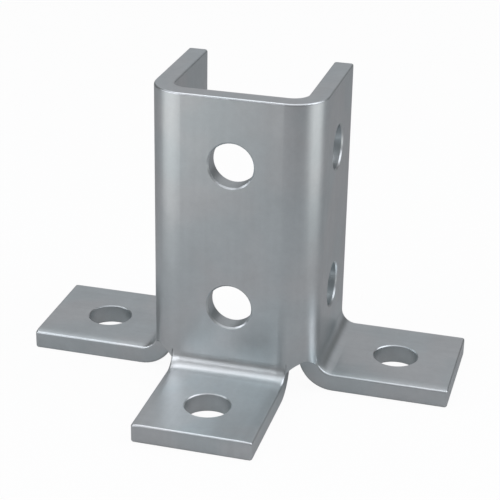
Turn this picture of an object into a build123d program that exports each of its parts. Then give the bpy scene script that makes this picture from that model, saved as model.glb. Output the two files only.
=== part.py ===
"""Three-footed U support bracket, folded from one piece of 1/4 in steel plate.

The upright is a U in plan, open to the back: a front web and two side flanges.
It takes a 41 mm strut channel, which is bolted through the web and the flanges.
A flat foot is folded outward from the web and from each flange, and is bolted
down to the floor through its one hole. Relief cuts across the two vertical bends
let the feet fold without tearing.

Frame: +Z up, +X to the right, the front foot points to -Y. The origin is the
middle of the footprint, on the underside of the feet. Millimetres.
"""

import math
import os

from build123d import *

# Driving dimensions, in mm
plate_thickness = 6.35
upright_width = 54.9  # outside the two flanges
upright_depth = 46.0  # face of the web to the back edges of the flanges
upright_height = 98.4  # floor to top edge
corner_inside_radius = 5.0  # vertical bends between web and flanges
foot_width = 38.1
front_foot_length = 40.4  # beyond the face of the web
side_foot_length = 42.4  # beyond the face of each flange
fold_inside_radius = 5.0  # folds of the feet, on their upper side
hole_diameter = 14.3
hole_spacing = 47.6  # between the two holes of the web, and of each flange
lower_hole_height = 29.2
side_hole_setback = 19.6  # holes of flanges and side feet, from the back edge
front_foot_hole_reach = 22.7  # hole of the front foot, from the face of the web
side_foot_hole_reach = 22.3  # holes of the side feet, from the face of the flange
relief_height = 11.8  # top of the relief cuts above the floor
relief_radius = 7.6  # crown of the relief cuts, measured round the bend
corner_round = 0.9  # corners of the plate's outline
outside_round = 0.7  # edges on the outside of the U and on top of the feet
inside_round = 0.8  # edges on the inside of the U and under the feet
upright_hole_rim = 0.5  # broken rims of the holes in the upright, on both faces
foot_hole_rim = 0.3  # broken rims of the holes in the feet, on both faces

# Derived places
half_width = upright_width / 2
corner_outside_radius = corner_inside_radius + plate_thickness
bend_x = half_width - corner_outside_radius  # axis of each vertical bend
fold_outside_radius = fold_inside_radius + plate_thickness
footprint_depth = front_foot_length + upright_depth
web_face = front_foot_length - footprint_depth / 2
back_edge = web_face + upright_depth
bend_y = web_face + corner_outside_radius
side_foot_middle = back_edge - foot_width / 2
side_foot_front = back_edge - foot_width
side_hole_y = back_edge - side_hole_setback
upper_hole_height = lower_hole_height + hole_spacing
fold_top = plate_thickness + fold_inside_radius  # where the upright begins


def round_outline(body, corners, outer_edge, inner_edge):
    """Rounds corners of the plate's outline, then the edges of both its faces.

    Each of the two edges stands for the smooth run of edges that it is part of.
    """
    body = fillet(corners(body), corner_round)
    body = fillet(outer_edge(body), outside_round)
    return fillet(inner_edge(body), inside_round)


def upright():
    """The U with its vertical bends, down to the floor, and its rounded rim."""
    with BuildSketch() as outer:
        with Locations((0, web_face + upright_depth / 2)):
            Rectangle(upright_width, upright_depth)
        fillet(outer.vertices().group_by(Axis.Y)[0], corner_outside_radius)
    with BuildSketch() as inner:
        with Locations((0, web_face + plate_thickness + upright_depth / 2)):
            Rectangle(upright_width - 2 * plate_thickness, upright_depth)
        fillet(inner.vertices().group_by(Axis.Y)[0], corner_inside_radius)
    body = extrude(outer.sketch - inner.sketch, upright_height)

    def top_edges(body):
        return body.edges().filter_by(Axis.X).group_by(Axis.Z)[-1]

    return round_outline(
        body,
        lambda body: top_edges(body).group_by(Axis.Y)[-1],
        lambda body: top_edges(body).sort_by(Axis.Y)[0],
        lambda body: top_edges(body).sort_by(Axis.Y)[1],
    )


def strip(foot_length, left_flat, right_flat):
    """One foot with its fold, up to where the upright begins.

    Centred on x = 0, with the outer face of the upright at y = 0 and the foot to -Y.
    The flats are the upright's, measured from the middle of the foot. Beyond them
    the section follows the vertical bends.
    """
    reach = foot_width / 2
    left_end = min(left_flat, reach)
    right_end = min(right_flat, reach)

    def set_back(flat):
        beyond = reach - flat
        return corner_outside_radius - math.sqrt(corner_outside_radius**2 - beyond**2)

    with BuildSketch(Plane.XY.offset(fold_top)) as section:
        with BuildLine():
            Line((-left_end, 0), (right_end, 0))
            right_edge = 0
            if right_end < reach:
                right_edge = set_back(right_end)
                RadiusArc((right_end, 0), (reach, right_edge), -corner_outside_radius)
            left_edge = 0
            if left_end < reach:
                left_edge = set_back(left_end)
                RadiusArc((-reach, left_edge), (-left_end, 0), -corner_outside_radius)
            Line((reach, right_edge), (reach, plate_thickness))
            Line((reach, plate_thickness), (-reach, plate_thickness))
            Line((-reach, plate_thickness), (-reach, left_edge))
        make_face()
    fold_axis = Axis((0, -fold_inside_radius, fold_top), (-1, 0, 0))
    flat_length = foot_length - fold_inside_radius
    body = revolve(section.sketch, fold_axis, 90)
    body += extrude(section.sketch.rotate(fold_axis, 90), flat_length, dir=(0, -1, 0))

    def tip_edges(body):
        return body.edges().filter_by(Axis.X).group_by(Axis.Y)[0].sort_by(Axis.Z)

    return round_outline(
        body,
        lambda body: body.edges().filter_by(Axis.Z).group_by(Axis.Y)[0],
        lambda body: tip_edges(body)[-1],
        lambda body: tip_edges(body)[0],
    )


def relief_cutter(side):
    """Arched cut across one vertical bend, with walls square to the plate.

    The arch is a circle on the rolled-out plate, so the cutter is a loft that
    widens away from the axis of the bend.
    """
    half_span = math.radians(44)  # just short of where the bend ends
    arch_centre = relief_height - relief_radius
    below_floor = -1
    slant = math.sqrt(0.5)
    inner_end = corner_inside_radius / 5
    outer_end = corner_outside_radius * 1.7
    sections = []
    for distance in (inner_end, outer_end):
        crown = []
        for i in range(-4, 5):
            angle = -half_span * i / 4
            along = corner_outside_radius * angle
            share = min(abs(along) / relief_radius, 0.999)
            rise = relief_radius * math.sqrt(1 - share**2)
            crown.append((distance * math.tan(angle), arch_centre + rise))
        right = crown[0][0]
        left = crown[-1][0]
        plane = Plane(
            origin=(side * (bend_x + distance * slant), bend_y - distance * slant, 0),
            x_dir=(slant, side * slant, 0),
            z_dir=(side * slant, -slant, 0),
        )
        with BuildSketch(plane) as section:
            with BuildLine():
                Line((left, below_floor), (right, below_floor))
                Line((right, below_floor), crown[0])
                Spline(*crown)
                Line(crown[-1], (left, below_floor))
            make_face()
        sections.append(section.sketch)
    return loft(sections, ruled=True)


def folded_plate():
    """The whole plate, folded, before its holes are cut."""
    plate = upright()
    # the upright ends where the strips of the feet take over
    front_gap = Box(foot_width, 4 * plate_thickness, 2 * fold_top)
    plate -= Pos(0, web_face, 0) * front_gap
    side_gap = Box(2 * upright_width, 2 * foot_width, 2 * fold_top)
    plate -= Pos(0, side_foot_front + foot_width, 0) * side_gap
    for side in (-1, 1):
        corner = Box(half_width, footprint_depth, 2 * upright_height)
        corner_x = side * (foot_width + half_width) / 2
        corner = Pos(corner_x, side_foot_front - footprint_depth / 2, 0) * corner
        plate -= relief_cutter(side) & corner
    plate += Pos(0, web_face, 0) * strip(front_foot_length, bend_x, bend_x)
    flange_flat = side_foot_middle - bend_y
    to_back_edge = foot_width / 2
    right_strip = strip(side_foot_length, flange_flat, to_back_edge)
    left_strip = strip(side_foot_length, to_back_edge, flange_flat)
    plate += Pos(half_width, side_foot_middle, 0) * Rot(0, 0, 90) * right_strip
    plate += Pos(-half_width, side_foot_middle, 0) * Rot(0, 0, -90) * left_strip
    return plate


def bolt_hole(rim):
    """Cutter for one bolt hole through the plate, with its rims broken.

    Its axis is Z, and the plate lies between z = 0 and z = -plate_thickness.
    """
    radius = hole_diameter / 2
    wide = radius + rim
    bottom = -plate_thickness
    with BuildSketch(Plane.XZ) as half:
        with BuildLine():
            Polyline(
                (0, 1),
                (wide, 1),
                (wide, 0),
                (radius, -rim),
                (radius, bottom + rim),
                (wide, bottom),
                (wide, bottom - 1),
                (0, bottom - 1),
                (0, 1),
            )
        make_face()
    return revolve(half.sketch, Axis.Z)


def support_bracket():
    """The folded plate with its nine bolt holes."""
    bracket = folded_plate()
    hole = bolt_hole(upright_hole_rim)
    for height in (lower_hole_height, upper_hole_height):
        bracket -= Pos(0, web_face, height) * Rot(90, 0, 0) * hole
        for side in (-1, 1):
            bracket -= Pos(side * half_width, side_hole_y, height) * Rot(0, side * 90, 0) * hole
    hole = bolt_hole(foot_hole_rim)
    bracket -= Pos(0, web_face - front_foot_hole_reach, plate_thickness) * hole
    for side in (-1, 1):
        hole_x = side * (half_width + side_foot_hole_reach)
        bracket -= Pos(hole_x, side_hole_y, plate_thickness) * hole
    return bracket


os.makedirs("parts", exist_ok=True)
bracket = support_bracket()
bracket.label = "support_bracket"
export_step(bracket, "parts/support_bracket.step")
print("volume", round(bracket.volume), "mm3, valid", bracket.is_valid)
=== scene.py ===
"""Dresses the folded steel support bracket in satin zinc plating, in a pale studio."""

import math

import bpy
from bpy.props import FloatProperty, FloatVectorProperty, PointerProperty
from mathutils import Matrix, Vector

bl_info = {
    "name": "Support bracket",
    "version": (1, 0, 0),
    "blender": (4, 5, 0),
    "location": "View3D > Sidebar > Bracket",
    "description": "Satin zinc plating for a folded support bracket, and a studio",
    "category": "Object",
}

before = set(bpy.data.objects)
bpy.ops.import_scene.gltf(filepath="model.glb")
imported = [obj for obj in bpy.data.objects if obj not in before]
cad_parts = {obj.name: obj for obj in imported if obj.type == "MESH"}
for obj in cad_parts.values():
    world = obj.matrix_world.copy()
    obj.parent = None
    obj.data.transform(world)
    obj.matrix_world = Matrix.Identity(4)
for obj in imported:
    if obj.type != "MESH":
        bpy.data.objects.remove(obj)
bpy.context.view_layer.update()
PLATE_NODE = "support_bracket"
MM = 0.001

# Outer faces of the upright, where the feet begin
FLANGE_FACE = 27.45 * MM  # along X, on both sides
WEB_FACE = -2.8 * MM  # along Y

# Lightness of the plating: its lowest, and what each pattern adds at most
LOWEST_LEVEL = 0.84
MOTTLE_LEVEL = 0.12
SPOT_LEVEL = 0.08
LINE_LEVEL = 0.08
GRAIN_LEVEL = 0.05

# What the patterns add to the roughness at most
MOTTLE_ROUGHNESS = 0.03
GRAIN_ROUGHNESS = 0.015

# Relief of the plating
LINE_HEIGHT = 0.5  # shares of the lines and the spots in it
SPOT_HEIGHT = 0.5
BUMP_DEPTH = 0.1 * MM
BUMP_STRENGTH = 0.3

CLOUD_EDGE = 0.38  # the noise at which a bluish cloud begins, and where it is full
CLOUD_CORE = 0.62
LINE_SLIMNESS = 0.05  # width of a rolling line over its length

# Painted pool of light on the floor, in front of the bracket and to its left
PAINTED_LIGHT_MIDDLE = (-40 * MM, -130 * MM, 0.0)
PAINTED_LIGHT_CORE = 120 * MM  # distances from its middle, between which it fades
PAINTED_LIGHT_EDGE = 280 * MM
PAINTED_FLOOR_SHADE = 0.72  # painted shade on the rest of the floor, where the patch is 1

# Glowing fans of the floor, painted light that only reflections show: azimuth in
# degrees, the distances between which the fan comes in, in metres, and its half width
# over the distance
GLOWING_FANS = (
    (-49, 0.1, 0.25, 0.68),
    (92, 0.12, 0.27, 0.52),
)
FAN_CORE = 0.45  # shares of the half width, between which a fan's sides fade
FAN_EDGE = 1.2

# Shares of the floor that are plain white, whatever light falls on it
CAMERA_WHITE = 0.95  # to the camera; the rest shows the bracket's shadow
METAL_WHITE = 0.1  # in the metal's reflections, all over, and of the world too
FAN_GLOW = 0.9  # the painted glow that a fan adds to that

PAPER_TO_CAMERA = 0.98  # colour of the floor's lit share, to the camera
HORIZON = 0.96  # the world to the camera, as bright as the floor where it ends

# The world to all but the camera: height, with 0 level and 1 straight up, and grey
SKY_STOPS = ((0.0, 0.03), (0.4, 0.04), (0.9, 0.1))

FLOOR_RADIUS = 4.0  # in metres
FLOOR_SIDES = 96
FLOOR_DROP = 0.05 * MM  # below the feet, so that no two faces share a plane

# Lamps: azimuth and elevation, then how wide and how high the bracket sees them, all
# in degrees, distance in metres, and brightness, of which a mirror shows 1 as white
LAMPS = (
    ("left_softbox", -50, 30, 59, 26, 0.8, 1.75),
    ("right_softbox", 98, 40, 40, 46, 0.9, 1.55),
    ("front_softbox", 20, 34, 36, 22, 1.2, 0.4),
    ("top_softbox", 0, 90, 64, 64, 1.2, 0.86),
    ("top_back_softbox", -110, 70, 30, 26, 1.2, 0.95),
    ("back_softbox", 190, 28, 62, 52, 1.2, 0.26),
)
LAMP_COLOUR = (0.98, 0.985, 1.035)

PICTURE_WIDTH = 36.0  # of the camera, in mm
CLIP_START = 10 * MM


class PlateFinish(bpy.types.PropertyGroup):
    """Colours and texture of the zinc plating."""

    zinc: FloatVectorProperty(
        name="Zinc",
        description="Colour of the plating",
        subtype="COLOR",
        size=3,
        default=(0.678, 0.704, 0.712),
    )
    cool_zinc: FloatVectorProperty(
        name="Cool zinc",
        description="Colour of the plating's bluish clouds",
        subtype="COLOR",
        size=3,
        default=(0.643, 0.694, 0.708),
    )
    roughness: FloatProperty(
        name="Roughness",
        description="How far the plating spreads reflections",
        default=0.32,
        min=0.0,
        max=1.0,
        subtype="FACTOR",
    )
    cloud_size: FloatProperty(
        name="Cloud size",
        description="Width of the bluish clouds of the plating",
        default=24 * MM,
        unit="LENGTH",
    )
    mottle_size: FloatProperty(
        name="Mottle size",
        description="Width of the light and dark mottles of the plating",
        default=9 * MM,
        unit="LENGTH",
    )
    spot_size: FloatProperty(
        name="Spot size",
        description="Width of the small spots of the plating",
        default=2 * MM,
        unit="LENGTH",
    )
    grain_size: FloatProperty(
        name="Grain size",
        description="Width of the fine crystals of the plating",
        default=0.6 * MM,
        unit="LENGTH",
    )
    line_width: FloatProperty(
        name="Line width",
        description="Width of the faint lines that rolling left in the plate",
        default=2.2 * MM,
        unit="LENGTH",
    )


class StudioSetup(bpy.types.PropertyGroup):
    """Place of the camera, and colour of the floor."""

    azimuth: FloatProperty(
        name="Azimuth",
        description="Camera's direction round the bracket, from the front to the right",
        default=math.radians(14.909),
        subtype="ANGLE",
    )
    elevation: FloatProperty(
        name="Elevation",
        description="Camera's height above the floor, as an angle",
        default=math.radians(24.324),
        subtype="ANGLE",
    )
    roll: FloatProperty(
        name="Roll",
        description="Turn of the camera about its own line of sight",
        default=math.radians(1.085),
        subtype="ANGLE",
    )
    distance: FloatProperty(
        name="Distance",
        description="Camera to the point it looks at",
        default=0.47285,
        unit="LENGTH",
    )
    target: FloatVectorProperty(
        name="Target",
        description="Point that the camera looks at",
        subtype="TRANSLATION",
        size=3,
        default=(6.555 * MM, -2.8 * MM, 49.95 * MM),
    )
    lens: FloatProperty(
        name="Lens",
        description="Focal length in mm, for a 36 mm wide picture",
        default=110.32,
        unit="CAMERA",
    )
    paper: FloatVectorProperty(
        name="Paper",
        description="Colour of the floor, as the bracket sees it",
        subtype="COLOR",
        size=3,
        default=(0.452, 0.452, 0.454),
    )


class Wire:
    """An output of a shader node. Operators on it add the Math nodes they stand for."""

    def __init__(self, shader, socket):
        self.shader = shader
        self.socket = socket

    def maths(self, operation, *values):
        settings = {"operation": operation}
        return self.shader.node("ShaderNodeMath", settings, dict(enumerate(values)))

    def __add__(self, other):
        return self.maths("ADD", self, other)

    __radd__ = __add__

    def __sub__(self, other):
        return self.maths("SUBTRACT", self, other)

    def __rsub__(self, other):
        return self.maths("SUBTRACT", other, self)

    def __mul__(self, other):
        return self.maths("MULTIPLY", self, other)

    __rmul__ = __mul__

    def __truediv__(self, other):
        return self.maths("DIVIDE", self, other)

    def __rtruediv__(self, other):
        return self.maths("DIVIDE", other, self)

    def __abs__(self):
        return self.maths("ABSOLUTE", self)

    def at_least(self, low):
        return self.maths("MAXIMUM", self, low)

    def at_most(self, high):
        return self.maths("MINIMUM", self, high)

    def smooth(self, start, end, first, last):
        """Goes gently from first to last, where the wire goes from start to end."""
        settings = {"interpolation_type": "SMOOTHSTEP"}
        inputs = {
            "Value": self,
            "From Min": start,
            "From Max": end,
            "To Min": first,
            "To Max": last,
        }
        return self.shader.node("ShaderNodeMapRange", settings, inputs)


class Shader:
    """Fills the node tree of a material or of the world."""

    def __init__(self, owner):
        owner.use_nodes = True
        self.tree = owner.node_tree
        self.tree.nodes.clear()

    def node(self, kind, settings=None, inputs=None, output=0):
        """Adds a node, with its settings and its sockets' values or links.

        Gives its output of that name or number, or None where it has no outputs.
        """
        node = self.tree.nodes.new(kind)
        for name, value in (settings or {}).items():
            if name == "stops":
                self.set_stops(node.color_ramp, value)
            else:
                setattr(node, name, value)
        for name, value in (inputs or {}).items():
            if isinstance(value, Wire):
                self.tree.links.new(value.socket, node.inputs[name])
            else:
                node.inputs[name].default_value = value
        return Wire(self, node.outputs[output]) if node.outputs else None

    @staticmethod
    def set_stops(ramp, stops):
        while len(ramp.elements) < len(stops):
            ramp.elements.new(1.0)
        for element, (position, level) in zip(ramp.elements, stops):
            element.position = position
            element.color = grey(level)

    def noise(self, place, size, detail=1.0):
        """A noise from 0 to 1, with blots of about that size."""
        inputs = {"Vector": place, "Scale": 1 / size, "Detail": detail}
        return self.node("ShaderNodeTexNoise", inputs=inputs)

    def parts(self, vector):
        """The X, Y and Z of a vector, each as a wire."""
        split = self.node("ShaderNodeSeparateXYZ", inputs={"Vector": vector})
        return [Wire(self, socket) for socket in split.socket.node.outputs]

    def distance(self, place, point):
        settings = {"operation": "DISTANCE"}
        inputs = {0: place, 1: point}
        return self.node("ShaderNodeVectorMath", settings, inputs, "Value")

    def scale(self, colour, level):
        """Makes a colour lighter or darker."""
        settings = {"operation": "SCALE"}
        return self.node("ShaderNodeVectorMath", settings, {0: colour, "Scale": level})

    def blend(self, factor, first, second):
        """Mixes two colours. The Mix node has them at inputs 6 and 7 and output 2."""
        settings = {"data_type": "RGBA"}
        inputs = {"Factor": factor, 6: first, 7: second}
        return self.node("ShaderNodeMix", settings, inputs, output=2)

    def rays(self):
        """Whether a ray is the camera's, and whether it is a reflection in metal.

        A ray through glass counts as a reflection.
        """
        camera, glossy, transmitted = (
            self.node("ShaderNodeLightPath", output=name)
            for name in ("Is Camera Ray", "Is Glossy Ray", "Is Transmission Ray")
        )
        return camera, glossy.at_least(transmitted)

    def finish(self, surface, kind="ShaderNodeOutputMaterial"):
        self.node(kind, inputs={"Surface": surface})


def grey(level):
    return (level, level, level, 1.0)


def rgba(colour):
    return (*colour, 1.0)


def along_rolling(shader, place):
    """Coordinates in which the rolling lines are long, straight and upright.

    The lines run down the upright and on along each foot, as they did along the
    flat plate, so a foot counts as hanging down from the face that it begins at.
    """
    x, y, z = shader.parts(place)
    across = x.at_least(-FLANGE_FACE).at_most(FLANGE_FACE)
    deep = y.at_least(WEB_FACE)
    beyond = abs(x - across) + deep - y
    along = LINE_SLIMNESS * (z - beyond)
    return shader.node("ShaderNodeCombineXYZ", inputs={0: across, 1: deep, 2: along})


def zinc_plating(finish):
    """Satin electroplated zinc.

    It has bluish clouds, mottles, small spots, faint rolling lines and a fine grain.
    """
    material = bpy.data.materials.new("zinc_plating")
    shader = Shader(material)
    place = shader.node("ShaderNodeTexCoord", output="Object")
    clouds = shader.noise(place, finish.cloud_size, detail=2.0)
    mottles = shader.noise(place, finish.mottle_size)
    spots = shader.noise(place, finish.spot_size)
    lines = shader.noise(along_rolling(shader, place), finish.line_width)
    grain = shader.noise(place, finish.grain_size)
    level = (
        LOWEST_LEVEL
        + MOTTLE_LEVEL * mottles
        + SPOT_LEVEL * spots
        + LINE_LEVEL * lines
        + GRAIN_LEVEL * grain
    )
    cool = clouds.smooth(CLOUD_EDGE, CLOUD_CORE, 0.0, 1.0)
    zinc = shader.blend(cool, rgba(finish.zinc), rgba(finish.cool_zinc))
    roughness = (
        finish.roughness + MOTTLE_ROUGHNESS * mottles + GRAIN_ROUGHNESS * grain
    )
    relief = {
        "Strength": BUMP_STRENGTH,
        "Distance": BUMP_DEPTH,
        "Height": LINE_HEIGHT * lines + SPOT_HEIGHT * spots,
    }
    plating = {
        "Base Color": shader.scale(zinc, level),
        "Metallic": 1.0,
        "Roughness": roughness,
        "Normal": shader.node("ShaderNodeBump", inputs=relief),
    }
    shader.finish(shader.node("ShaderNodeBsdfPrincipled", inputs=plating))
    return material


def direction(azimuth, elevation):
    """The way out from the bracket, of length 1.

    Azimuth 0 is the front, and it grows to the right.
    """
    flat = math.cos(elevation)
    return Vector(
        (math.sin(azimuth) * flat, -math.cos(azimuth) * flat, math.sin(elevation))
    )


def fan(x, y, azimuth, near, far, half_width):
    """A part of the floor that widens away from the bracket, from 0 to 1."""
    aim = direction(math.radians(azimuth), 0.0)
    along = aim.x * x + aim.y * y
    aside = abs(aim.y * x - aim.x * y)
    ratio = aside / along.at_least(1 * MM)
    sides = ratio.smooth(FAN_CORE * half_width, FAN_EDGE * half_width, 1.0, 0.0)
    return along.smooth(near, far, 0.0, 1.0) * sides


def floor_paper(setup):
    """Paper that is white to the eye and still takes the bracket's shadow.

    To the bracket it is a mid grey, lightest in a painted pool of light, and a little
    white shows in the metal's reflections. The fans glow quite white there, painted
    light that gives the bright bands on the bracket's vertical bends.
    """
    material = bpy.data.materials.new("floor_paper")
    shader = Shader(material)
    camera, reflected = shader.rays()
    place = shader.node("ShaderNodeTexCoord", output="Object")
    # painted pool of light: to the bracket the floor is lighter near the patch's middle
    # and darker farther off
    away = shader.distance(place, PAINTED_LIGHT_MIDDLE)
    painted_shade = away.smooth(PAINTED_LIGHT_CORE, PAINTED_LIGHT_EDGE, 1.0, PAINTED_FLOOR_SHADE)
    painted_paper = shader.scale(setup.paper, painted_shade)
    colour = shader.blend(camera, painted_paper, grey(PAPER_TO_CAMERA))
    lit = shader.node("ShaderNodeBsdfDiffuse", inputs={"Color": colour})
    white = shader.node("ShaderNodeEmission", inputs={"Color": grey(1.0)})
    x, y, _ = shader.parts(place)
    share = METAL_WHITE
    # painted light: the fans glow white in the metal's reflections, as bright bands on
    # the vertical bends
    for settings in GLOWING_FANS:
        share += FAN_GLOW * fan(x, y, *settings)
    mix = {0: CAMERA_WHITE * camera + share * reflected, 1: lit, 2: white}
    shader.finish(shader.node("ShaderNodeMixShader", inputs=mix))
    return material


def softbox(name, azimuth, elevation, width, height, reach, brightness):
    """A rectangular lamp that faces the bracket."""
    aim = direction(math.radians(azimuth), math.radians(elevation))
    data = bpy.data.lights.new(name, "AREA")
    data.shape = "RECTANGLE"
    data.size = 2 * reach * math.tan(math.radians(width / 2))
    data.size_y = 2 * reach * math.tan(math.radians(height / 2))
    data.energy = math.pi * data.size * data.size_y * brightness
    data.color = LAMP_COLOUR
    lamp = bpy.data.objects.new(name, data)
    lamp.location = aim * reach
    lamp.rotation_euler = aim.to_track_quat("Z", "Y").to_euler()
    bpy.context.scene.collection.objects.link(lamp)


class BRACKET_OT_plate(bpy.types.Operator):
    """Give the folded plate its zinc plating"""

    bl_idname = "bracket.plate"
    bl_label = "Folded plate"

    def execute(self, context):
        material = zinc_plating(context.scene.plate_finish)
        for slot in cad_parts[PLATE_NODE].material_slots:
            slot.material = material
        return {"FINISHED"}


class BRACKET_OT_studio(bpy.types.Operator):
    """Add the floor, the world, the lamps and the camera"""

    bl_idname = "bracket.studio"
    bl_label = "Studio"

    def execute(self, context):
        setup = context.scene.studio_setup
        self.add_floor(setup)
        self.add_world(context.scene)
        for lamp in LAMPS:
            softbox(*lamp)
        self.add_camera(context.scene, setup)
        return {"FINISHED"}

    def add_floor(self, setup):
        bpy.ops.object.select_all(action="DESELECT")
        bpy.ops.mesh.primitive_circle_add(
            vertices=FLOOR_SIDES,
            radius=FLOOR_RADIUS,
            fill_type="NGON",
            location=(0, 0, -FLOOR_DROP),
        )
        floor = bpy.context.active_object
        floor.name = "floor"
        floor.data.materials.append(floor_paper(setup))

    def add_world(self, scene):
        scene.world = bpy.data.worlds.new("studio")
        shader = Shader(scene.world)
        camera, reflected = shader.rays()
        # on the world, Generated is the direction
        place = shader.node("ShaderNodeTexCoord", output="Generated")
        height = shader.parts(place)[2]
        ramp = {"stops": SKY_STOPS}
        level = shader.node("ShaderNodeValToRGB", ramp, {"Fac": height})
        seen = camera + METAL_WHITE * reflected
        sky = {"Color": shader.blend(seen, level, grey(HORIZON)), "Strength": 1.0}
        surface = shader.node("ShaderNodeBackground", inputs=sky)
        shader.finish(surface, "ShaderNodeOutputWorld")

    def add_camera(self, scene, setup):
        data = bpy.data.cameras.new("camera")
        data.sensor_width = PICTURE_WIDTH
        data.lens = setup.lens
        data.clip_start = CLIP_START
        back = direction(setup.azimuth, setup.elevation)
        right = Vector((0, 0, 1)).cross(back).normalized()
        up = back.cross(right)
        tilt = setup.roll
        across = math.cos(tilt) * right + math.sin(tilt) * up
        upright = math.cos(tilt) * up - math.sin(tilt) * right
        turn = Matrix((across, upright, back)).transposed()
        place = Vector(setup.target) + back * setup.distance
        camera = bpy.data.objects.new("camera", data)
        camera.matrix_world = Matrix.Translation(place) @ turn.to_4x4()
        scene.collection.objects.link(camera)
        scene.camera = camera


class BRACKET_PT_panel(bpy.types.Panel):
    """Lists the steps that dress the bracket, each under its settings"""

    bl_label = "Support bracket"
    bl_idname = "BRACKET_PT_panel"
    bl_space_type = "VIEW_3D"
    bl_region_type = "UI"
    bl_category = "Bracket"

    def draw(self, context):
        column = self.layout.column()
        for group, operator in (
            (context.scene.plate_finish, BRACKET_OT_plate),
            (context.scene.studio_setup, BRACKET_OT_studio),
        ):
            for name in type(group).__annotations__:
                column.prop(group, name)
            column.operator(operator.bl_idname)


CLASSES = (
    PlateFinish,
    StudioSetup,
    BRACKET_OT_plate,
    BRACKET_OT_studio,
    BRACKET_PT_panel,
)


def register():
    for cls in CLASSES:
        bpy.utils.register_class(cls)
    bpy.types.Scene.plate_finish = PointerProperty(type=PlateFinish)
    bpy.types.Scene.studio_setup = PointerProperty(type=StudioSetup)


def unregister():
    del bpy.types.Scene.studio_setup
    del bpy.types.Scene.plate_finish
    for cls in reversed(CLASSES):
        bpy.utils.unregister_class(cls)


def main():
    register()
    bpy.ops.bracket.plate()
    bpy.ops.bracket.studio()
    scene = bpy.context.scene
    scene.view_settings.view_transform = "Standard"


if __name__ == "__main__":
    main()
